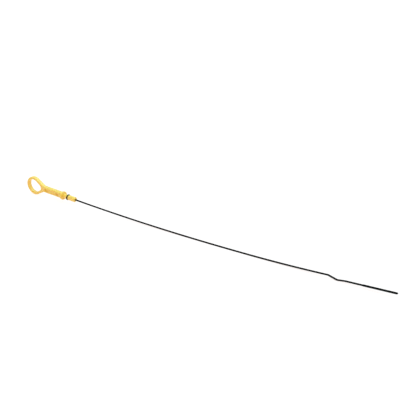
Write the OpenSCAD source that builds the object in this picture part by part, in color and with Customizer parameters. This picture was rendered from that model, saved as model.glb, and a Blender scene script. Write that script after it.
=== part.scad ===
// Engine oil dipstick: a moulded handle with a finger ring, a rubber seal in a groove,
// and a flat steel blade with a long bow, a joggle and a wider measuring end.
// Everything is drawn along the handle's own axis, X, with X = 0 at the flange's seat face
// and Z up in the plane of the ring. Then the whole part is tipped so that it lies on a
// flat surface at Z = 0, on the rim of the ring and on the belly of the blade's bow.

/* [Finger ring] */
// Diameter of the finger hole
finger_d = 23.4; // [20:0.2:26]
// Thickness of the ring's band, measured outwards
band_t = 4.5; // [3.6:0.1:5.4]
// Width of the band, across the plane of the ring
band_w = 6.9; // [5.6:0.1:7.6]
// Rounding of the band's long edges
band_round = 1.4; // [0.6:0.1:1.6]
// Angle at which the finger hole's straight sides close in
arm_angle = 35; // [31:1:39]
// Angle at which the arms' outer sides close in on the shank
flank_angle = 31; // [29:1:35]
// Radius of the finger hole's narrow end
hole_end_r = 6; // [4.5:0.1:7]
// Radius that eases each arm into the shank
arm_fillet_r = 5; // [3:0.5:8]

/* [Shank] */
// From the seat face back to the centre of the finger hole
ring_reach = 67.6; // [62:0.2:76]
// Height of the shank, in the plane of the ring
shank_h = 9.9; // [9:0.1:11]
// Width of the shank, across the plane of the ring
shank_w = 8.3; // [7.7:0.1:9.4]
// Rounding of the shank's long edges
shank_round = 1.6; // [0.8:0.1:2]
// Depth of the recess in each side
recess_depth = 0.8; // [0.4:0.1:1]
// Depth of the two coring pockets at the recess's ends
core_depth = 1.8; // [1.2:0.1:2.2]
// Length of each coring pocket
core_l = 6.5; // [5:0.1:9]
// Rim left above and below the recess
recess_rim = 2.4; // [1.8:0.1:3]
// Radius in the recess's corners
recess_round = 1.6; // [0.6:0.1:1.8]
// Plain shank left between the arms and the recess
recess_start = 1.2; // [0.4:0.1:4]
// Plain shank left between the recess and the flare
recess_stop = 0.6; // [0.4:0.1:3]

/* [Flange] */
// Diameter of the flange
flange_d = 14.7; // [13.4:0.1:17]
// Thickness of the flange
flange_t = 3.1; // [2.4:0.1:4.5]
// Rounding of the flange's rim
flange_round = 0.7; // [0.3:0.1:1]
// Length of the flare from shank to flange
flare_l = 6; // [4:0.1:9]
// Ledge left outside the flare on the flange's back
flare_ledge = 0.7; // [0.3:0.1:1.2]
// Depth of the relief round the neck, which leaves the seat a flat rim
relief_depth = 0.4; // [0.2:0.1:0.8]

/* [Nose] */
// Diameter of the neck between the seat face and the seal
neck_d = 7.7; // [7.2:0.1:8.2]
// Length of the neck
neck_l = 8.3; // [7:0.1:11]
// Diameter at the bottom of the seal groove
groove_d = 5.4; // [5.2:0.1:5.8]
// Width of the seal groove
groove_l = 2.7; // [2.6:0.1:3.2]
// Diameter of the land that keeps the seal in its groove
land_d = 8.9; // [8.7:0.1:9.3]
// Length of that land
land_l = 3.5; // [3:0.1:5]
// Diameter of the waist in front of it
waist_d = 8.3; // [7.6:0.1:8.5]
// Length of the waist
waist_l = 2.5; // [1.5:0.1:4]
// Diameter of the guide land at the nose's end, which centres the nose in its tube
guide_d = 8.9; // [8.7:0.1:9.2]
// Length of the guide land
guide_l = 8.6; // [7:0.1:12]
// Rounding of the nose's end
guide_round = 1.2; // [0.6:0.1:2]
// Rounding of the other edges of the lands
land_round = 0.4; // [0.2:0.1:0.6]

/* [Seal] */
// Thickness of the seal ring's round section
seal_section = 2.4; // [2:0.1:2.5]
// Clearance between the seal ring and the bottom of its groove
seal_gap = 0.03; // [0.01:0.01:0.1]

/* [Blade] */
// Width of the strip
blade_w = 3.8; // [3:0.1:4.4]
// Thickness of the strip
blade_t = 0.7; // [0.5:0.05:0.9]
// Clearance around the blade in its slot
slot_gap = 0.03; // [0.01:0.01:0.1]
// Length of the strip held inside the handle
root_l = 30; // [20:1:36]
// Radius of the bow next to the handle
bow_r = 4270; // [4000:10:4800]
// Length of that first bow
bow_l = 333; // [300:1:380]
// Radius of the tighter bow that follows it
end_bow_r = 2310; // [2000:10:3000]
// Length of the tighter bow
end_bow_l = 111; // [90:1:130]

/* [Joggle] */
// Inside radius of the three bends
bend_r = 4.6; // [3:0.1:7]
// Angle of the first bend, down
dip_angle = 19.7; // [16:0.1:22]
// Straight after the first bend
dip_l = 11.1; // [8:0.1:13]
// Angle of the second bend, up
rise_angle = 25; // [21:0.5:28]
// Straight after the second bend
rise_l = 9.7; // [7:0.1:12]
// Angle of the third bend, down
settle_angle = 5.6; // [4:0.1:8]

/* [Measuring end] */
// Straight strip between the last bend and the measuring end
run_l = 22; // [12:1:34]
// Length of the measuring end, with its round tip
gauge_l = 46; // [40:1:60]
// Width of the measuring end
gauge_w = 4.6; // [3.9:0.1:5.4]
// Length over which the strip widens
shoulder_l = 2.5; // [1:0.5:5]
// From the tip to the low level line
low_mark = 12; // [8:1:16]
// From the low level line to the full level line
mark_span = 18; // [12:1:22]
// Width of each level line
mark_w = 0.6; // [0.4:0.1:1]
// Spacing of the cross-hatch between the lines
hatch_pitch = 1.8; // [1.2:0.1:3]
// Width of each hatch groove
hatch_w = 0.35; // [0.2:0.05:0.5]
// Depth of the lines and of the hatch in each face
mark_depth = 0.12; // [0.05:0.01:0.18]

/* [Hidden] */
$fn = 64;
part_yellow = "#f0c24f";
seal_black = "#161616";
steel_dark = "#3a3b3d";
deg_per_rad = 180 / PI;
over = 1;

hole_r = finger_d / 2;
ring_r = hole_r + band_t;
arm_normal = 90 - arm_angle;
flank_normal = 90 - flank_angle;
hole_end_x = (hole_r - hole_end_r) / sin(arm_angle);
// The fillets end a little below the shank's top and bottom, so that the two shapes cross cleanly.
fillet_sink = 0.15;
fillet_z = shank_h / 2 - fillet_sink + arm_fillet_r;
fillet_x = (ring_r + arm_fillet_r - fillet_z * cos(flank_angle)) / sin(flank_angle);
shank_x = fillet_x - ring_reach;
shank_l = -shank_x - flange_t / 2;

flange_r = flange_d / 2;
flare_x = -flange_t - flare_l;
flare_root_r = min(shank_w, shank_h) / 2 - 0.1;
flare_rise = flange_r - flare_ledge - flare_root_r;
flare_r = (flare_rise ^ 2 + flare_l ^ 2) / (2 * flare_rise);

recess_x = shank_x + recess_start;
recess_l = flare_x - recess_stop - recess_x;
recess_h = shank_h - 2 * recess_rim;
recess_r = min(recess_round, recess_h / 2 - 0.1);

groove_x = neck_l;
land_x = groove_x + groove_l;
waist_x = land_x + land_l;
guide_x = waist_x + waist_l;
nose_l = guide_x + guide_l;

seal_mid_r = groove_d / 2 + seal_gap + seal_section / 2;
seal_x = groove_x + groove_l / 2;

// The relief is wider than the seal ring, and always leaves a rim to seat on.
relief_gap = 0.12;
least_rim = 0.5;
relief_r = min(seal_mid_r + seal_section / 2 + relief_gap, flange_r - flange_round - least_rim);

// Each leg of the blade is its length along the middle of the strip and the angle it turns, up positive.
bend_mid_r = bend_r + blade_t / 2;
function bend(angle) = [bend_mid_r * abs(angle) / deg_per_rad, angle];
LEGS = [
    [root_l, 0],
    [bow_l, bow_l / bow_r * deg_per_rad],
    [end_bow_l, end_bow_l / end_bow_r * deg_per_rad],
    bend(-dip_angle),
    [dip_l, 0],
    bend(rise_angle),
    [rise_l, 0],
    bend(-settle_angle),
    [run_l, 0],
    [gauge_l, 0],
];
RISE_LEG = [for (i = [0:len(LEGS) - 1]) if (LEGS[i][1] == rise_angle) i][0];

// A pose is the place and heading of the strip's middle line: [x, z, angle].
function leg_radius(leg) = leg[0] * deg_per_rad / leg[1];
function leg_centre(pose, leg) =
    [pose[0] - leg_radius(leg) * sin(pose[2]), pose[1] + leg_radius(leg) * cos(pose[2])];
function after_line(pose, leg) =
    [pose[0] + leg[0] * cos(pose[2]), pose[1] + leg[0] * sin(pose[2]), pose[2]];
function after_bend(pose, leg) = let (c = leg_centre(pose, leg), a = pose[2] + leg[1])
    [c[0] + leg_radius(leg) * sin(a), c[1] - leg_radius(leg) * cos(a), a];
function after_leg(pose, leg) = leg[1] == 0 ? after_line(pose, leg) : after_bend(pose, leg);
function pose_at(i) = i == 0 ? [nose_l - root_l, 0, 0] : after_leg(pose_at(i - 1), LEGS[i - 1]);
gauge_pose = pose_at(len(LEGS) - 1);
tip_pose = pose_at(len(LEGS));

// The surface is a common tangent below two circles: the ring's rim and the blade's belly.
function tangent_angle(centre, radius) = let (dx = centre[0] + ring_reach, dz = centre[1])
    atan2(dz, dx) - asin((radius - ring_r) / norm([dx, dz]));
function belly_angle(i) =
    tangent_angle(leg_centre(pose_at(i), LEGS[i]), leg_radius(LEGS[i]) + blade_t / 2);
bow_angle = belly_angle(1) <= pose_at(2)[2] ? belly_angle(1) : belly_angle(2);
lie_angle = min(bow_angle, belly_angle(RISE_LEG));
floor_z = ring_reach * sin(lie_angle) - ring_r;

// Plan length of the part as it lies, which centres it on X = 0.
ring_end = -ring_reach * cos(lie_angle) - ring_r;
tip_end = tip_pose[0] * cos(lie_angle) + tip_pose[1] * sin(lie_angle)
    + blade_t / 2 * abs(sin(tip_pose[2] - lie_angle));
middle_x = (ring_end + tip_end) / 2;

// Tips the part from its own axis to the way it lies on a flat surface.
module as_it_lies() {
    translate([-middle_x, 0, -floor_z])
        rotate([0, lie_angle, 0])
            children();
}

module rounded_rect(size, r) {
    square([size[0] - 2 * r, size[1]], center = true);
    square([size[0], size[1] - 2 * r], center = true);
    for (i = [-1, 1], j = [-1, 1])
        translate([i * (size[0] / 2 - r), j * (size[1] / 2 - r)])
            circle(r);
}

// Stands a flat outline of the ring's plane up, with its thickness across that plane.
module upright() {
    rotate([90, 0, 0])
        children();
}

// Runs a cross-section drawn as [across, up] along the axis.
module along_axis(length) {
    rotate([90, 0, 90])
        linear_extrude(length)
            children();
}

// The finger ring is a loft around the finger hole. Each station is a pair of points in the
// ring's plane, [x, z] from the ring's centre: one on the hole's edge and one on the outside.
function polar(r, angle) = [r * cos(angle), r * sin(angle)];
function to_rim(angle) = ring_r / cos(max(0, flank_normal - min(angle, 360 - angle)));
function ring_station(angle) = [polar(hole_r, angle), polar(to_rim(angle), angle)];

// Past the arms, the outside is seen from the middle of the hole's narrow end: it runs on along
// each arm's outer line, then round the fillet, then down inside the shank.
fillet_out = norm([fillet_x - hole_end_x, fillet_z]);
fillet_angle = atan2(fillet_z, fillet_x - hole_end_x);
arm_end_angle = atan2(fillet_z - arm_fillet_r * cos(flank_angle),
    fillet_x - arm_fillet_r * sin(flank_angle) - hole_end_x);
shank_angle = atan2(fillet_z - arm_fillet_r, fillet_x - hole_end_x);
function to_arm_line(a) = (ring_r - hole_end_x * cos(flank_normal)) / cos(flank_normal - a);
function to_fillet(a) = fillet_out * cos(fillet_angle - a)
    - sqrt(max(0, arm_fillet_r ^ 2 - (fillet_out * sin(fillet_angle - a)) ^ 2));
function to_shank(a) = (fillet_x - hole_end_x) / cos(a);
function to_outside(a) =
    a > arm_end_angle ? to_arm_line(a) : a > shank_angle ? to_fillet(a) : to_shank(a);
function fork_station(angle) =
    [for (r = [hole_end_r, to_outside(abs(angle))]) [hole_end_x, 0] + polar(r, angle)];

RING_STEPS = 44;
FORK_STEPS = 44;
STATIONS = concat(
    [for (i = [0:RING_STEPS]) ring_station(arm_normal + i / RING_STEPS * (360 - 2 * arm_normal))],
    [for (i = [0:FORK_STEPS]) fork_station((2 * i / FORK_STEPS - 1) * arm_normal)]
);

// The band's section between a station's two points: a rectangle with rounded corners.
CORNER_STEPS = 4;
function band_section(inner, outer) =
    let (depth = norm(outer - inner), out = (outer - inner) / depth)
    [for (corner = [0:3], k = [0:CORNER_STEPS])
        let (
            a = 90 * (corner + k / CORNER_STEPS),
            outwards = corner == 0 || corner == 3 ? depth - band_round : band_round,
            across = (corner < 2 ? 1 : -1) * (band_w / 2 - band_round),
            p = inner + out * (outwards + band_round * cos(a))
        )
        [p[0], across + band_round * sin(a), p[1]]];

module finger_ring() {
    sections = [for (s = STATIONS) band_section(s[0], s[1])];
    n = len(sections);
    m = len(sections[0]);
    translate([-ring_reach, 0, 0])
        polyhedron(
            points = [for (section = sections) each section],
            faces = [for (i = [0:n - 1], k = [0:m - 1])
                let (a = i * m, b = (i + 1) % n * m, next = (k + 1) % m)
                each [[a + k, b + k, b + next], [a + k, b + next, a + next]]]
        );
}

// The shank's round end is a puck with the shank's own section, so the two run smoothly together.
module shank() {
    translate([shank_x, 0, 0]) {
        along_axis(shank_l)
            rounded_rect([shank_w, shank_h], shank_round);
        upright()
            rotate_extrude($fn = 96)
                intersection() {
                    rounded_rect([shank_h, shank_w], shank_round);
                    translate([0, -shank_w])
                        square([shank_h, 2 * shank_w]);
                }
    }
}

// One side's recess, with a deeper coring pocket at each end and a plain pad between them.
module side_recess() {
    translate([recess_x + recess_l / 2, -shank_w / 2, 0])
        upright() {
            translate([0, 0, -recess_depth])
                linear_extrude(recess_depth + over)
                    rounded_rect([recess_l, recess_h], recess_r);
            for (side = [-1, 1])
                translate([side * (recess_l - core_l) / 2, 0, -core_depth])
                    linear_extrude(core_depth + over)
                        rounded_rect([core_l, recess_h], recess_r);
        }
}

// A land of a turned profile, drawn as [radius, along], with its two edges rounded.
module land(r, start, length, start_round, end_round) {
    translate([0, start]) {
        square([r - start_round, length / 2]);
        translate([0, length / 2])
            square([r - end_round, length / 2]);
        translate([0, start_round])
            square([r, length - start_round - end_round]);
        translate([r - start_round, start_round])
            circle(start_round);
        translate([r - end_round, length - end_round])
            circle(end_round);
    }
}

module flare_profile() {
    difference() {
        translate([0, flare_x])
            square([flange_r - flare_ledge, flare_l + flange_t / 2]);
        translate([flare_root_r + flare_r, flare_x])
            circle(flare_r, $fn = 180);
    }
}

module flange_profile() {
    difference() {
        land(flange_r, -flange_t, flange_t, flange_round, flange_round);
        translate([0, -relief_depth])
            square([relief_r, relief_depth + over]);
    }
}

module nose_profile() {
    translate([0, -flange_t / 2])
        square([neck_d / 2, flange_t / 2 + neck_l]);
    square([groove_d / 2, waist_x + land_round]);
    land(land_d / 2, land_x, land_l, land_round, land_round);
    translate([0, waist_x - land_round])
        square([waist_d / 2, waist_l + 2 * land_round]);
    land(guide_d / 2, guide_x, guide_l, land_round, guide_round);
}

module turned_end() {
    rotate([0, 90, 0])
        rotate_extrude($fn = 96) {
            flare_profile();
            flange_profile();
            nose_profile();
        }
}

module blade_slot() {
    slot_l = root_l + slot_gap;
    translate([nose_l - slot_l, -blade_w / 2 - slot_gap, -blade_t / 2 - slot_gap])
        cube([slot_l + over, blade_w + 2 * slot_gap, blade_t + 2 * slot_gap]);
}

module handle() {
    color(part_yellow)
        as_it_lies()
            difference() {
                union() {
                    finger_ring();
                    shank();
                    turned_end();
                }
                side_recess();
                mirror([0, 1, 0])
                    side_recess();
                blade_slot();
            }
}

module seal_ring() {
    color(seal_black)
        as_it_lies()
            translate([seal_x, 0, 0])
                rotate([0, 90, 0])
                    rotate_extrude($fn = 96)
                        translate([seal_mid_r, 0])
                            circle(seal_section / 2, $fn = 48);
}

module from_pose(pose) {
    translate([pose[0], 0, pose[1]])
        rotate([0, -pose[2], 0])
            children();
}

// Poses along the strip's middle line: straight legs need only their ends.
function leg_steps(leg) = leg[1] == 0 ? 1 : ceil(max(leg[0] / 12, abs(leg[1]) / 3));
POSES = concat(
    [for (i = [0:len(LEGS) - 1])
        let (start = pose_at(i), n = leg_steps(LEGS[i]))
        for (k = [0:n - 1]) after_leg(start, LEGS[i] * (k / n))],
    [tip_pose]
);
function beside(pose, distance) =
    [pose[0] - distance * sin(pose[2]), pose[1] + distance * cos(pose[2])];

// The strip seen from the side: its middle line, thickened to both faces.
module side_outline() {
    below = [for (p = POSES) beside(p, -blade_t / 2)];
    above = [for (i = [len(POSES) - 1:-1:0]) beside(POSES[i], blade_t / 2)];
    polygon(concat(below, above));
}

TIP_STEP = 10;

// The strip seen from above, widening to the measuring end with its round tip.
module plan_outline() {
    start_x = pose_at(0)[0];
    widen_x = gauge_pose[0];
    tip_x = tip_pose[0] - gauge_w / 2;
    half = [
        [start_x, blade_w / 2],
        [widen_x, blade_w / 2],
        [widen_x + shoulder_l, gauge_w / 2],
        for (a = [90:-TIP_STEP:TIP_STEP]) [tip_x, 0] + polar(gauge_w / 2, a),
        [tip_x + gauge_w / 2, 0],
    ];
    other_half = [for (i = [len(half) - 2:-1:0]) [half[i][0], -half[i][1]]];
    polygon(concat(half, other_half));
}

module strip() {
    reach = norm([tip_pose[0], tip_pose[1]]);
    intersection() {
        upright()
            linear_extrude(gauge_w + 2 * over, center = true)
                side_outline();
        linear_extrude(reach, center = true)
            plan_outline();
    }
}

// Two level lines across the measuring end, with a cross-hatch of slanted grooves between them.
module level_marks() {
    full_x = gauge_l - low_mark - mark_span;
    hatch_step = hatch_pitch * sqrt(2);
    lines = floor((mark_span + gauge_w) / 2 / hatch_step);
    for (x = [full_x, full_x + mark_span])
        translate([x, 0])
            square([mark_w, gauge_w + over], center = true);
    intersection() {
        translate([full_x, -gauge_w])
            square([mark_span, 2 * gauge_w]);
        for (slant = [-45, 45], i = [-lines:lines])
            translate([full_x + mark_span / 2 + i * hatch_step, 0])
                rotate(slant)
                    square([2 * gauge_w, hatch_w], center = true);
    }
}

module blade() {
    color(steel_dark)
        as_it_lies()
            difference() {
                strip();
                from_pose(gauge_pose)
                    for (side = [0, 1])
                        mirror([0, 0, side])
                            translate([0, 0, blade_t / 2 - mark_depth])
                                linear_extrude(mark_depth + over)
                                    level_marks();
            }
}

handle();
seal_ring();
blade();
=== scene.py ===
# %% [markdown]
# # Engine oil dipstick
#
# This lesson dresses a finished CAD model of an engine oil dipstick: a yellow moulded handle with
# a finger ring, a black rubber seal, and a long dark steel blade with a joggle near its measuring
# end. The CAD model gives every size and place. Here the handle gets the soft edges and mould marks
# of a real moulding, the blade its rounded edges and pressed level marks, and each surface its own
# material.

# %% Load the CAD model as a fixed frame
import math
import bmesh
import bpy
import numpy as np
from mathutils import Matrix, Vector


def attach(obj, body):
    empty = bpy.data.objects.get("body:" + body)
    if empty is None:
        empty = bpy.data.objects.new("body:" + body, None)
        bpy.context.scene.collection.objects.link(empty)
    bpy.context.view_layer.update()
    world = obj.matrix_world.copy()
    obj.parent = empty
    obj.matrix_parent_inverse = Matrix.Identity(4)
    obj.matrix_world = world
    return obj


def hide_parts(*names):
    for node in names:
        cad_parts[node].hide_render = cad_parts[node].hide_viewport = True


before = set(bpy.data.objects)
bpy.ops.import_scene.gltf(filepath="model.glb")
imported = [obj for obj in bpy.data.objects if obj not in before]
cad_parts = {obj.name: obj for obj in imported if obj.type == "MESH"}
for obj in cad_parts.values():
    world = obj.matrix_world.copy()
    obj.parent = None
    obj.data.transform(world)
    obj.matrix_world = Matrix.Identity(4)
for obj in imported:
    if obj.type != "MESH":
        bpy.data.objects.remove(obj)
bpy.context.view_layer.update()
MM = 0.001
print("CAD nodes:", sorted(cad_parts))

# %% [markdown]
# ## Where the handle's axis lies
#
# The dipstick lies on a surface on two places: the rim of the finger ring and the belly of the
# bowed blade. So its handle is tipped by a few degrees. The same numbers as in the CAD source turn
# a point given along the handle's axis (x from the flange's seat, z up in the ring's plane) into
# the frame. Each shape below can then be worked out along a straight axis, which is far easier.

# %% From the handle's own axis to the frame
LIE_ANGLE = math.radians(3.84333)
MIDDLE_X, FLOOR_Z = 239.032, -11.6689


def as_it_lies(points):
    """Rows of x, y, z along the handle's axis, in mm, to rows in the frame, in metres."""
    x, y, z = np.asarray(points, float).reshape(-1, 3).T
    c, s = math.cos(LIE_ANGLE), math.sin(LIE_ANGLE)
    return np.stack([x * c + z * s - MIDDLE_X, y, z * c - x * s - FLOOR_Z], axis=1) * MM


def along_handle(points):
    """The way back: rows in the frame, in metres, to rows along the handle's axis, in mm."""
    x, y, z = np.asarray(points, float).reshape(-1, 3).T / MM
    c, s = math.cos(LIE_ANGLE), math.sin(LIE_ANGLE)
    x, z = x + MIDDLE_X, z + FLOOR_Z
    return np.stack([x * c - z * s, y, z * c + x * s], axis=1)


SEAT = Vector(as_it_lies([(0, 0, 0)])[0])
print("Seat face's centre in mm:", [round(c / MM, 2) for c in SEAT])

# %% [markdown]
# ## The camera
#
# The photograph was taken about a metre away, a little above the part and from the measuring end's
# side of square. Its lens and place came from fitting the handle's outline and the blade's middle
# line. A camera can be aimed at the middle of a scene, but one known point aims it better: the seat
# face's centre, whose place in the picture was measured.

# %% Make the camera
PICTURE = 416                        # pixels each way
SENSOR = 36.0                        # mm
AZIMUTH, ELEVATION = math.radians(31.120), math.radians(25.010)
DISTANCE = 0.9893                    # metres from the seat's plane
FOCAL = 584.30                       # pixels
SEAT_IN_PICTURE = (64.078, 195.718)  # pixels from the top left corner
CLIP_START, CLIP_END = 0.05, 60      # metres

back = Vector((
    math.sin(AZIMUTH) * math.cos(ELEVATION),
    -math.cos(AZIMUTH) * math.cos(ELEVATION),
    math.sin(ELEVATION),
))
right = Vector((math.cos(AZIMUTH), math.sin(AZIMUTH), 0))
up = back.cross(right)
seat_right = (SEAT_IN_PICTURE[0] - PICTURE / 2) / FOCAL * DISTANCE
seat_up = (PICTURE / 2 - SEAT_IN_PICTURE[1]) / FOCAL * DISTANCE

camera = bpy.data.objects.new("camera", bpy.data.cameras.new("camera"))
bpy.context.scene.collection.objects.link(camera)
camera.data.sensor_width = SENSOR
camera.data.lens = FOCAL / PICTURE * SENSOR
camera.data.clip_start, camera.data.clip_end = CLIP_START, CLIP_END
camera.location = SEAT + back * DISTANCE - right * seat_right - up * seat_up
camera.rotation_mode = "QUATERNION"
camera.rotation_quaternion = back.to_track_quat("Z", "Y")
bpy.context.scene.camera = camera
print("Camera at", [round(c, 3) for c in camera.location],
      "with a lens of", round(camera.data.lens, 1), "mm")

# %% [markdown]
# ## Colours and nodes
#
# Colours are picked as sRGB hex values, the way a paint program shows them. Shaders work in linear
# light, so one function turns them over. The part is modelled in metres, so a second one turns a
# pattern's real size into its scale. A third adds any node with its settings and its inputs, where
# an input is either a value or another node's output. A fourth starts a material with no nodes.
# Materials could also be built by hand in the node editor, but in code each number can be read.

# %% Helpers for materials
def linear(hex_colour):
    """An sRGB hex value as linear red, green, blue and alpha."""
    channels = [int(hex_colour[i:i + 2], 16) / 255 for i in (1, 3, 5)]
    return (*[c / 12.92 if c <= 0.04045 else ((c + 0.055) / 1.055) ** 2.4 for c in channels], 1.0)


def cells(size_mm):
    """A pattern's scale, in cells to the metre, for cells of that size in mm."""
    return 1 / (size_mm * MM)


def add(tree, kind, inputs=None, **settings):
    """Adds one node, sets its properties, and sets or links its inputs."""
    made = tree.nodes.new(kind)
    for name, value in settings.items():
        setattr(made, name, value)
    for name, value in (inputs or {}).items():
        if isinstance(value, bpy.types.NodeSocket):
            tree.links.new(value, made.inputs[name])
        else:
            made.inputs[name].default_value = value
    return made


def empty_material(name):
    """A new material, and its node tree with nothing in it."""
    material = bpy.data.materials.new(name)
    material.use_nodes = True
    material.node_tree.nodes.clear()
    return material, material.node_tree


print("Linear value of a mid grey:", round(linear("#808080")[0], 3))
print("Scale of a 2 mm pattern:", cells(2))

# %% [markdown]
# ## The handle's plastic
#
# A dipstick's handle is injection moulded in glass-filled nylon, in a signal yellow that is easy to
# find in an engine bay. The mould's spark-eroded steel leaves a fine satin texture. The plastic has
# a clear skin over its pigment, so a weak and rather rough coat gives the pale sheen on its upper
# edges. Light goes a millimetre or two into it, red light furthest: a little subsurface scattering
# softens the shading and warms it. A stronger share would look waxy, and it would be noisy at few
# samples.

# %% Moulded nylon in signal yellow
def moulded_nylon_yellow():
    material, tree = empty_material("moulded_nylon_yellow")
    place = add(tree, "ShaderNodeTexCoord")
    # The melt flows along the handle, so its faint streaks are stretched that way.
    stretched = add(tree, "ShaderNodeMapping", {
        "Vector": place.outputs["Object"], "Scale": (cells(12.5), cells(2), cells(2))})
    streaks = add(tree, "ShaderNodeTexNoise", {
        "Vector": stretched.outputs["Vector"], "Scale": 1.0, "Detail": 3.0, "Roughness": 0.5})
    colour = add(tree, "ShaderNodeValToRGB", {"Fac": streaks.outputs["Fac"]})
    darker, lighter = colour.color_ramp.elements
    darker.position, darker.color = 0.30, linear("#eab83c")
    lighter.position, lighter.color = 0.72, linear("#efbd47")
    # Spark-eroded texture has pits of about 0.1 mm. It is drawn at 0.4 mm, so that it shows.
    pits = add(tree, "ShaderNodeTexNoise", {
        "Vector": place.outputs["Object"], "Scale": cells(0.4), "Detail": 2.0, "Roughness": 0.6})
    satin = add(tree, "ShaderNodeMapRange", {
        "Value": pits.outputs["Fac"],
        "From Min": 0.3, "From Max": 0.7, "To Min": 0.36, "To Max": 0.48})
    texture = add(tree, "ShaderNodeBump", {
        "Height": pits.outputs["Fac"], "Strength": 0.25, "Distance": 0.05 * MM})
    shader = add(tree, "ShaderNodeBsdfPrincipled", {
        "Base Color": colour.outputs["Color"],
        "Roughness": satin.outputs["Result"],
        "Normal": texture.outputs["Normal"],
        "IOR": 1.53,
        "Coat Weight": 0.5,
        "Coat Roughness": 0.3,
        "Subsurface Weight": 0.2,
        "Subsurface Radius": (2.0, 1.0, 0.5),
        "Subsurface Scale": 1.0 * MM,
    })
    add(tree, "ShaderNodeOutputMaterial", {"Surface": shader.outputs["BSDF"]})
    return material


handle_plastic = moulded_nylon_yellow()
print("Made", handle_plastic.name)

# %% [markdown]
# ## The seal's rubber
#
# The seal is black nitrile rubber, moulded smooth. Its carbon black is a touch brown, and its
# surface is matt. A pure black could stand for it, but it would look like a hole in the picture. So
# a very faint bloom, a dust of wax that comes out of the rubber, makes its shade and its roughness
# uneven.

# %% Moulded nitrile rubber
def moulded_nitrile_rubber():
    material, tree = empty_material("moulded_nitrile_rubber")
    place = add(tree, "ShaderNodeTexCoord")
    # The bloom lies in specks of about a millimetre.
    bloom = add(tree, "ShaderNodeTexNoise", {
        "Vector": place.outputs["Object"], "Scale": cells(1), "Detail": 4.0, "Roughness": 0.6})
    colour = add(tree, "ShaderNodeValToRGB", {"Fac": bloom.outputs["Fac"]})
    darker, lighter = colour.color_ramp.elements
    darker.position, darker.color = 0.35, linear("#0a0706")
    lighter.position, lighter.color = 0.75, linear("#15100d")
    sheen = add(tree, "ShaderNodeMapRange", {
        "Value": bloom.outputs["Fac"],
        "From Min": 0.3, "From Max": 0.7, "To Min": 0.42, "To Max": 0.6})
    grain = add(tree, "ShaderNodeBump", {
        "Height": bloom.outputs["Fac"], "Strength": 0.2, "Distance": 0.04 * MM})
    shader = add(tree, "ShaderNodeBsdfPrincipled", {
        "Base Color": colour.outputs["Color"],
        "Roughness": sheen.outputs["Result"],
        "Normal": grain.outputs["Normal"],
        "IOR": 1.52,
        "Specular IOR Level": 0.15,
    })
    add(tree, "ShaderNodeOutputMaterial", {"Surface": shader.outputs["BSDF"]})
    return material


seal_rubber = moulded_nitrile_rubber()
print("Made", seal_rubber.name)

# %% [markdown]
# ## The blade's steel
#
# The blade is a strip of hardened spring steel with a dark oxide film from its heat treatment,
# lightly oiled. The film is a near-black oxide over metal. A black paint would lose the soft
# streaks of light that run along such a strip, so it is modelled as a dark metal with a sheen.
# Rolling leaves fine lines along the strip, and the oil gathers in patches that are smoother. The
# oxide doesn't flash white at a grazing angle as bare metal does, so its edge tint is dark too.

# %% Dark oxide spring steel
def dark_oxide_spring_steel():
    material, tree = empty_material("dark_oxide_spring_steel")
    place = add(tree, "ShaderNodeTexCoord")
    # Rolling lines are some hundredths of a millimetre wide. They are drawn 0.3 mm wide.
    rolled = add(tree, "ShaderNodeMapping", {
        "Vector": place.outputs["Object"], "Scale": (cells(16), cells(0.3), cells(0.3))})
    lines = add(tree, "ShaderNodeTexNoise", {
        "Vector": rolled.outputs["Vector"], "Scale": 1.0, "Detail": 3.0, "Roughness": 0.6})
    # Patches of oil and of thicker oxide are about 10 mm long.
    patches = add(tree, "ShaderNodeTexNoise", {
        "Vector": place.outputs["Object"], "Scale": cells(10), "Detail": 3.0, "Roughness": 0.55})
    mixed = add(tree, "ShaderNodeMix", {
        "Factor": 0.45, "A": lines.outputs["Fac"], "B": patches.outputs["Fac"],
    }, data_type="FLOAT")
    colour = add(tree, "ShaderNodeValToRGB", {"Fac": mixed.outputs["Result"]})
    darker, lighter = colour.color_ramp.elements
    darker.position, darker.color = 0.34, linear("#141210")
    lighter.position, lighter.color = 0.68, linear("#292623")
    oiled = add(tree, "ShaderNodeMapRange", {
        "Value": patches.outputs["Fac"],
        "From Min": 0.35, "From Max": 0.65, "To Min": 0.36, "To Max": 0.52})
    relief = add(tree, "ShaderNodeBump", {
        "Height": lines.outputs["Fac"], "Strength": 0.3, "Distance": 0.03 * MM})
    shader = add(tree, "ShaderNodeBsdfPrincipled", {
        "Base Color": colour.outputs["Color"],
        "Roughness": oiled.outputs["Result"],
        "Normal": relief.outputs["Normal"],
        "Metallic": 0.9,
        "Specular Tint": (0.2, 0.2, 0.2, 1.0),
    })
    add(tree, "ShaderNodeOutputMaterial", {"Surface": shader.outputs["BSDF"]})
    return material


blade_steel = dark_oxide_spring_steel()
print("Made", blade_steel.name)

# %% [markdown]
# ## The handle's shape
#
# The CAD handle has exact but hard meetings where the ring's arms run into the shank, where the
# flare meets the flange, and round the recesses. A mould is cut with round tools, so on the real
# part each of these is a small fillet. Bevels could make them, but each edge would have to be
# picked by hand. It is simpler to remesh a copy of the solid into small even cells and to smooth it
# for a few rounds: the flat faces stay, and the meetings soften. A plug fills the blade's slot
# first, because the real plastic is moulded tight round the steel. It goes past the slot's bottom,
# and it ends just under the nose's face, which leaves a shallow step round the blade.

# %% Copy the CAD handle, plug the blade's slot and remesh
NOSE_END = 25.6
ROOT_LENGTH = 30.0
PLUG_FROM = NOSE_END - ROOT_LENGTH - 1.1
PLUG_TO = NOSE_END - 0.15
PLUG_HALF_W, PLUG_HALF_T = 2.15, 0.65
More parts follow.
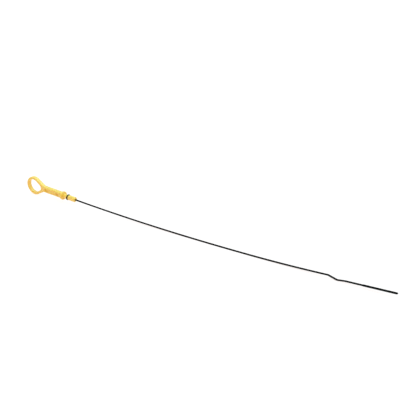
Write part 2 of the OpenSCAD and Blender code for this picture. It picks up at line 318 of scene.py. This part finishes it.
# The corners below count through x, then y, then z.
PLUG_FACES = [(0, 1, 3, 2), (4, 6, 7, 5), (0, 4, 5, 1), (2, 3, 7, 6), (0, 2, 6, 4), (1, 5, 7, 3)]
WELD = 0.0005
CELL = 0.3
SMOOTHING, SMOOTHING_ROUNDS = 0.5, 5


def plugged_copy(node):
    """The CAD node's mesh with a block set in the blade's slot."""
    made = bmesh.new()
    made.from_mesh(node.data)
    bmesh.ops.remove_doubles(made, verts=made.verts, dist=WELD * MM)
    corners = [(x, y, z) for x in (PLUG_FROM, PLUG_TO)
               for y in (-PLUG_HALF_W, PLUG_HALF_W) for z in (-PLUG_HALF_T, PLUG_HALF_T)]
    block = [made.verts.new(p) for p in as_it_lies(corners)]
    for face in PLUG_FACES:
        made.faces.new([block[i] for i in face])
    bmesh.ops.recalc_face_normals(made, faces=made.faces)
    mesh = bpy.data.meshes.new("handle_start")
    made.to_mesh(mesh)
    made.free()
    return mesh


def remeshed(mesh):
    """The mesh in even cells and smoothed, with its modifiers applied."""
    work = bpy.data.objects.new("remesh_work", mesh)
    bpy.context.scene.collection.objects.link(work)
    grid = work.modifiers.new("grid", "REMESH")
    grid.mode, grid.voxel_size = "VOXEL", CELL * MM
    soft = work.modifiers.new("soft", "SMOOTH")
    soft.factor, soft.iterations = SMOOTHING, SMOOTHING_ROUNDS
    bpy.context.view_layer.update()
    evaluated = work.evaluated_get(bpy.context.evaluated_depsgraph_get())
    made = bpy.data.meshes.new_from_object(evaluated)
    bpy.data.objects.remove(work)
    return made


handle_mesh = remeshed(plugged_copy(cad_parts["handle"]))
print("Handle after remeshing:", len(handle_mesh.vertices), "points and",
      len(handle_mesh.polygons), "faces")

# %% [markdown]
# ## Marks of the mould
#
# The mould opens across the ring's plane, because the two recesses face that way. Its halves meet
# in a thin raised line all round the handle. Bump in the material could draw it, but real height
# also shows on the outline and in an exported mesh. The mesh is cut along the line's middle and its
# two edges first, so that the line gets points of its own.

# %% Cut the handle along the parting line
LINE_HALF_WIDTH = 0.12


def cut_at_parting_plane(mesh):
    made = bmesh.new()
    made.from_mesh(mesh)
    for y in (-LINE_HALF_WIDTH, 0, LINE_HALF_WIDTH):
        whole = made.verts[:] + made.edges[:] + made.faces[:]
        bmesh.ops.bisect_plane(made, geom=whole, plane_co=(0, y * MM, 0), plane_no=(0, 1, 0))
    made.to_mesh(mesh)
    made.free()


cut_at_parting_plane(handle_mesh)
print("Handle after the cuts:", len(handle_mesh.vertices), "points")

# %% [markdown]
# ## Points that go in and out
#
# On the far side, round pins push the part out of the mould and leave shallow round marks, and the
# plastic came in at a small gate in the recess. A moulding isn't perfectly flat either, so very low
# waves run over it. Sculpting by hand could make all this, but a sum that moves each point along
# its normal is exact and can be changed later. The whole surface goes in by the line's height, and
# only the line stays, so that the dressed handle keeps inside the CAD model.

# %% Raise the parting line and the gate, and press in the pin marks
LINE_HEIGHT = 0.05
ON_LINE = 0.001
FACES_AWAY = 0.9
RING_X, BAND_MIDDLE_R = -67.6, 13.95
RING_PIN_ANGLES = (80, 180, 280)
SHANK_MIDDLE_X, SHANK_PIN_OFFSET = -25.6, 3
PIN_DEPTH, PIN_RADIUS = 0.25, 1.2
GATE_HEIGHT, GATE_RADIUS = 0.35, 0.9
MARK_EDGE = 0.25
# The waves' height is in mm, and their turns along x and z are in radians to the mm.
WAVE_HEIGHT, WAVE_SHIFT = 0.02, 1.2
WAVE_X, WAVE_Z = (0.61, 0.17), (0.35, 0.53)


def rows_of(items, attribute):
    """What each of a mesh's items has, such as its place or its normal, as rows of three."""
    flat = np.empty(len(items) * 3, np.float32)
    items.foreach_get(attribute, flat)
    return flat.reshape(-1, 3).astype(float)


def soft_step(value, edge, width):
    """0 below an edge, 1 above it, with a smooth rise of that width."""
    t = np.clip((value - edge) / width + 0.5, 0, 1)
    return t * t * (3 - 2 * t)


def move_by_mould_marks(mesh):
    """Moves each point out along its normal by what the mould did there, and gives the moves."""
    points, normals = rows_of(mesh.vertices, "co"), rows_of(mesh.vertex_normals, "vector")
    x, y, z = along_handle(points).T
    outwards = np.full(len(points), -LINE_HEIGHT)
    on_line = np.abs(y) < ON_LINE
    outwards[on_line] = 0
    far_side = normals[:, 1] > FACES_AWAY
    pins = [(RING_X + BAND_MIDDLE_R * math.cos(a), BAND_MIDDLE_R * math.sin(a))
            for a in (math.radians(d) for d in RING_PIN_ANGLES)]
    pins += [(SHANK_MIDDLE_X + side * SHANK_PIN_OFFSET, 0) for side in (-1, 1)]
    for pin_x, pin_z in pins:
        away = np.hypot(x - pin_x, z - pin_z)
        outwards -= PIN_DEPTH * far_side * (1 - soft_step(away, PIN_RADIUS, MARK_EDGE))
    away = np.hypot(x - SHANK_MIDDLE_X, z)
    outwards += GATE_HEIGHT * far_side * (1 - soft_step(away, GATE_RADIUS, MARK_EDGE))
    waves = (np.sin(x * WAVE_X[0] + z * WAVE_Z[0])
             * np.sin(z * WAVE_Z[1] + x * WAVE_X[1] + WAVE_SHIFT))
    outwards -= WAVE_HEIGHT * (0.5 + 0.5 * waves) * ~on_line
    moved = points + normals * outwards[:, None] * MM
    mesh.vertices.foreach_set("co", moved.astype(np.float32).ravel())
    mesh.update()
    return outwards


moves = move_by_mould_marks(handle_mesh)
print("Points moved outwards by", round(moves.min(), 3), "to", round(moves.max(), 3), "mm")

# %% [markdown]
# ## The handle in its place
#
# A mesh is seen only through an object that shows it. That object rides on the CAD model's body,
# stands for the CAD handle, which is then hidden, and carries the handle's material. One could move
# the CAD handle's own points instead, but the CAD model is the measure of everything and stays as
# it is.

# %% Show the handle
def piece_of(mesh, name, material, smooth=True):
    """An object of that name that shows the mesh in one material."""
    mesh.name = name
    mesh.materials.clear()
    mesh.materials.append(material)
    mesh.polygons.foreach_set("use_smooth", [smooth] * len(mesh.polygons))
    piece = bpy.data.objects.new(name, mesh)
    bpy.context.scene.collection.objects.link(piece)
    return piece


handle = piece_of(handle_mesh, "handle_moulding", handle_plastic)
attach(handle, "root")
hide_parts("handle")
print("Handle:", len(handle_mesh.polygons), "faces")

# %% [markdown]
# ## The seal ring
#
# The seal is moulded in two halves too. A thin flash runs round its outside and its inside, in the
# plane where the halves met. The ready-made torus has a plain round section, so this ring is worked
# out point by point, as a circle of sections that are a hair wider at the flash.

# %% Make the seal ring
SEAL_X, SEAL_MIDDLE_R, SEAL_SECTION_R = 9.65, 3.93, 1.2
FLASH_HEIGHT, FLASH_ANGLE = 0.04, math.radians(5)
ROUND_STEPS, SECTION_STEPS = 144, 72


def seal_points():
    around = np.linspace(0, 2 * math.pi, ROUND_STEPS, endpoint=False)[:, None]
    section = np.linspace(0, 2 * math.pi, SECTION_STEPS, endpoint=False)[None, :]
    off_plane = np.arcsin(np.abs(np.sin(section)))
    radius = SEAL_SECTION_R - FLASH_HEIGHT * (1 - np.exp(-(off_plane / FLASH_ANGLE) ** 2))
    reach = SEAL_MIDDLE_R + radius * np.cos(section)
    x = SEAL_X + radius * np.sin(section) + 0 * around
    return as_it_lies(np.stack([x, reach * np.cos(around), reach * np.sin(around)], axis=-1))


def grid_faces(rows, columns, closed_rows=True):
    """Four-sided faces between neighbours in a grid of points whose columns close into a loop."""
    return [(i * columns + j, i * columns + (j + 1) % columns,
             (i + 1) % rows * columns + (j + 1) % columns, (i + 1) % rows * columns + j)
            for i in range(rows if closed_rows else rows - 1) for j in range(columns)]


def mesh_of(points, faces):
    """A new mesh from points in the frame, in metres."""
    mesh = bpy.data.meshes.new("start")
    mesh.from_pydata([tuple(p) for p in points], [], faces)
    mesh.validate()
    return mesh


seal_mesh = mesh_of(seal_points(), grid_faces(ROUND_STEPS, SECTION_STEPS))
seal = piece_of(seal_mesh, "seal_moulding", seal_rubber)
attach(seal, "root")
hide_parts("seal_ring")
print("Seal:", len(seal_mesh.polygons), "faces")

# %% [markdown]
# ## The blade's path
#
# Seen from the side, the blade is a chain of legs. Each leg has a length and turns by some angle:
# two long bows, then three tight bends with straights between them, which make the joggle before
# the measuring end. A curve object could follow such a chain too, but walking down it in code gives
# the exact place and heading at any length along the blade, which the level marks need.

# %% Walk along the blade
BEND_RADIUS = 4.95
GAUGE_LENGTH = 46.0


def straight(length):
    return length, 0


def bow(length, radius):
    return length, length / radius


def bend(degrees):
    return BEND_RADIUS * math.radians(abs(degrees)), math.radians(degrees)


LEGS = [
    straight(ROOT_LENGTH),
    bow(333.0, 4270.0),
    bow(111.0, 2310.0),
    bend(-19.7),
    straight(11.1),
    bend(25.0),
    straight(9.7),
    bend(-5.6),
    straight(22.0),
    straight(GAUGE_LENGTH),
]
BLADE_LENGTH = sum(length for length, turn in LEGS)
GAUGE_START = BLADE_LENGTH - GAUGE_LENGTH


def walk(along):
    """The place x, z and the heading of the strip's middle line, at a length from its root."""
    x, z, heading = NOSE_END - ROOT_LENGTH, 0.0, 0.0
    for length, turn in LEGS:
        part = min(along, length)
        turned = turn * part / length
        if turn:
            radius = length / turn
            x += radius * (math.sin(heading + turned) - math.sin(heading))
            z -= radius * (math.cos(heading + turned) - math.cos(heading))
        else:
            x, z = x + part * math.cos(heading), z + part * math.sin(heading)
        heading, along = heading + turned, along - part
        if along <= 0:
            break
    return x, z, heading


print("Blade's length in mm:", round(BLADE_LENGTH, 1),
      "and its tip at", [round(v, 2) for v in walk(BLADE_LENGTH)])

# %% [markdown]
# ## The blade's section and its level marks
#
# The strip is rolled, so its long edges are rounded. Near the end it widens, and its tip is round.
# Two level lines and a cross-hatch between them are pressed into both faces. Bump could draw them,
# but they would vanish at a flat angle, so each groove is real depth: the faces have a fine grid
# there, and its points go down where a groove runs.

# %% The strip's outline at any place along it
BLADE_WIDTH, GAUGE_WIDTH, THICKNESS = 3.8, 4.6, 0.7
EDGE_ROUND = 0.12
SHOULDER = 2.5
LOW_LINE, FULL_LINE = GAUGE_LENGTH - 12.0, GAUGE_LENGTH - 30.0
LINE_WIDTH, HATCH_WIDTH, HATCH_PITCH = 0.6, 0.35, 1.8
MARK_DEPTH, MARK_WALL = 0.12, 0.12
# The tip ends a hair short, so that its corners stay inside the CAD model.
TIP_END = BLADE_LENGTH - 0.03
LEAST_HALF_WIDTH = 0.02
FACE_STEPS, CORNER_STEPS = 30, 4


def half_width(along):
    to_tip = TIP_END - along
    wide = np.interp(along - GAUGE_START, [0, SHOULDER], [BLADE_WIDTH / 2, GAUGE_WIDTH / 2])
    inwards = max(0.0, GAUGE_WIDTH / 2 - to_tip)
    tip = math.sqrt(max(0.0, (GAUGE_WIDTH / 2) ** 2 - inwards ** 2))
    return max(LEAST_HALF_WIDTH, min(wide, tip))


def half_thickness(along):
    short = max(0.0, EDGE_ROUND - (TIP_END - along))
    round_edge = math.sqrt(EDGE_ROUND ** 2 - min(short, EDGE_ROUND) ** 2)
    return THICKNESS / 2 - EDGE_ROUND + round_edge


def mark_depth(along, across):
    """How deep the marks are at a place on either face."""
    gauge = along - GAUGE_START
    level = np.minimum(abs(gauge - FULL_LINE), abs(gauge - LOW_LINE)) - LINE_WIDTH / 2
    middle = (FULL_LINE + LOW_LINE) / 2
    slanted = [np.abs((gauge - middle + side * across) / math.sqrt(2) / HATCH_PITCH)
               for side in (-1, 1)]
    off_hatch = np.minimum(*[np.abs(s - np.round(s)) * HATCH_PITCH for s in slanted])
    past_lines = np.maximum(FULL_LINE - gauge, gauge - LOW_LINE)
    hatch = np.maximum(off_hatch - HATCH_WIDTH / 2, past_lines)
    return MARK_DEPTH * (1 - soft_step(np.minimum(level, hatch), 0, MARK_WALL))


def section(along):
    """The strip's outline at one place: both faces, and two rounded edges between them."""
    wide, thick = half_width(along), half_thickness(along)
    edge = min(EDGE_ROUND, wide)
    face = np.linspace(-1, 1, FACE_STEPS + 1) * (wide - edge)
    corner = np.radians(np.linspace(90, 0, CORNER_STEPS + 1)[1:])
    out = wide - edge + edge * np.cos(corner)
    up = thick - edge + edge * np.sin(corner)
    depth = mark_depth(along, face)
    across = np.concatenate([face, out, out[::-1], face[::-1], -out, -out[::-1]])
    height = np.concatenate([thick - depth, up, -up[::-1], depth[::-1] - thick, -up, up[::-1]])
    return across, height


print("Points in one section:", len(section(0.0)[0]))
print("Deepest mark in mm:", mark_depth(GAUGE_START + FULL_LINE, 0.0))

# %% [markdown]
# ## The blade itself
#
# The strip is a chain of its sections, each set on the path and joined to the next by faces. With
# even steps it would take some five thousand of them to keep the marks sharp. So the sections stand
# closest where something changes, at the bends, at the marks and round the tip, and the long bows
# have few.

# %% Make the blade
LONGEST_STEP = 4.0
SHORT_LEG, SHORT_LEG_STEPS = 5.0, 10
SHOULDER_STEPS = 5
MARK_STEP, MARK_MARGIN = 0.11, 0.6
TIP_TURN, EDGE_TURN = 5, 15  # degrees
LEAST_STEP = 0.0005


def blade_stations():
    """Where the strip gets a section, as lengths from its root."""
    stations, start = [0.0], 0.0
    for length, turn in LEGS:
        steps = SHORT_LEG_STEPS if length < SHORT_LEG else math.ceil(length / LONGEST_STEP)
        stations += list(start + np.linspace(0, length, steps + 1)[1:])
        start += length
    stations += list(GAUGE_START + np.linspace(0, SHOULDER, SHOULDER_STEPS + 1))
    stations += list(GAUGE_START + np.arange(
        FULL_LINE - MARK_MARGIN, LOW_LINE + MARK_MARGIN, MARK_STEP))
    for radius, turn in ((GAUGE_WIDTH / 2, TIP_TURN), (EDGE_ROUND, EDGE_TURN)):
        stations += list(TIP_END - radius * (1 - np.cos(np.radians(np.arange(0, 90, turn)))))
    stations = np.unique(np.round(np.minimum(stations, TIP_END), 4))
    return stations[np.concatenate([[True], np.diff(stations) > LEAST_STEP])]


def blade_rows():
    """The points of each section, set on the path."""
    rows = []
    for along in blade_stations():
        x, z, heading = walk(along)
        across, height = section(along)
        side, rise = math.sin(heading), math.cos(heading)
        rows.append(np.stack([x - height * side, across, z + height * rise], axis=1))
    return rows


rows = blade_rows()
columns = len(rows[0])
root_end = tuple(range(columns))[::-1]
tip_end = tuple(range((len(rows) - 1) * columns, len(rows) * columns))
blade_faces = grid_faces(len(rows), columns, closed_rows=False) + [root_end, tip_end]
blade_mesh = mesh_of(as_it_lies(np.concatenate(rows)), blade_faces)
blade = piece_of(blade_mesh, "blade_strip", blade_steel)
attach(blade, "root")
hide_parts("blade")
print("Blade:", len(rows), "sections and", len(blade_mesh.polygons), "faces")

# %% [markdown]
# ## The floor
#
# The part is shown on plain white, as in a parts catalogue. A white paper floor would turn grey
# under the part and show a shadow. A product photographer therefore lays it on a table of opal
# acrylic that is lit from below, so that the ground stays white. The floor here is such a sheet:
# grey in itself, and glowing evenly. Its glow is a touch warm, because the cool light from above
# adds to it, and together they come out white.

# %% The floor, a sheet of opal acrylic lit from below
FLOOR_HALF = 12.0        # metres
FLOOR_SINK = 0.05 * MM


def opal_acrylic_lit():
    material, tree = empty_material("opal_acrylic_lit")
    place = add(tree, "ShaderNodeTexCoord")
    # The opal filler lies a little unevenly, in clouds of some 20 mm.
    clouds = add(tree, "ShaderNodeTexNoise", {
        "Vector": place.outputs["Object"], "Scale": cells(20), "Detail": 4.0, "Roughness": 0.6})
    colour = add(tree, "ShaderNodeValToRGB", {"Fac": clouds.outputs["Fac"]})
    darker, lighter = colour.color_ramp.elements
    darker.position, darker.color = 0.3, linear("#5f5f5e")
    lighter.position, lighter.color = 0.7, linear("#656564")
    shader = add(tree, "ShaderNodeBsdfPrincipled", {
        "Base Color": colour.outputs["Color"],
        "Roughness": 0.9,
        "Emission Color": linear("#fff8f6"),
        "Emission Strength": 0.93,
    })
    add(tree, "ShaderNodeOutputMaterial", {"Surface": shader.outputs["BSDF"]})
    return material


floor_corners = [(x * FLOOR_HALF, y * FLOOR_HALF, -FLOOR_SINK)
                 for x, y in ((-1, -1), (1, -1), (1, 1), (-1, 1))]
floor_mesh = mesh_of(floor_corners, [(0, 1, 2, 3)])
floor = piece_of(floor_mesh, "floor", opal_acrylic_lit(), smooth=False)
print("Floor:", 2 * FLOOR_HALF, "m each way")

# %% [markdown]
# ## The light
#
# One wide and cool light hangs above, in a room with white walls and a dimmer ceiling. Plain white
# light from all round would be simpler, but the part would look flat. This way its tops look lemon,
# and its sides, which the table and the walls light, look warmer, as in the photograph.

# %% The light above and the room round the table
KEY_TOWARDS = (0.2, 0.15, 1.0)
KEY_WIDTH = 80  # degrees, as seen from the part
key_light = bpy.data.lights.new("key", "SUN")
key_light.angle, key_light.energy = math.radians(KEY_WIDTH), 3.3
key_light.color = linear("#aeecff")[:3]
key = bpy.data.objects.new("key", key_light)
bpy.context.scene.collection.objects.link(key)
key.rotation_mode = "QUATERNION"
key.rotation_quaternion = Vector(KEY_TOWARDS).to_track_quat("Z", "Y")

world = bpy.data.worlds.new("white_room")
bpy.context.scene.world = world
world.use_nodes = True
world.node_tree.nodes.clear()
towards = add(world.node_tree, "ShaderNodeTexCoord")
height = add(world.node_tree, "ShaderNodeSeparateXYZ", {"Vector": towards.outputs["Generated"]})
# The walls end and the ceiling begins between 20 and 37 degrees above the horizon.
wall_or_ceiling = add(world.node_tree, "ShaderNodeMapRange", {
    "Value": height.outputs["Z"],
    "From Min": 0.35, "From Max": 0.6, "To Min": 1.0, "To Max": 0.6})
room = add(world.node_tree, "ShaderNodeBackground", {
    "Color": linear("#ffffff"), "Strength": wall_or_ceiling.outputs["Result"]})
add(world.node_tree, "ShaderNodeOutputWorld", {"Surface": room.outputs["Background"]})
bpy.context.scene.view_settings.view_transform = "Standard"
bpy.context.scene.view_settings.look = "None"
print("Made", key.name, "and", world.name)
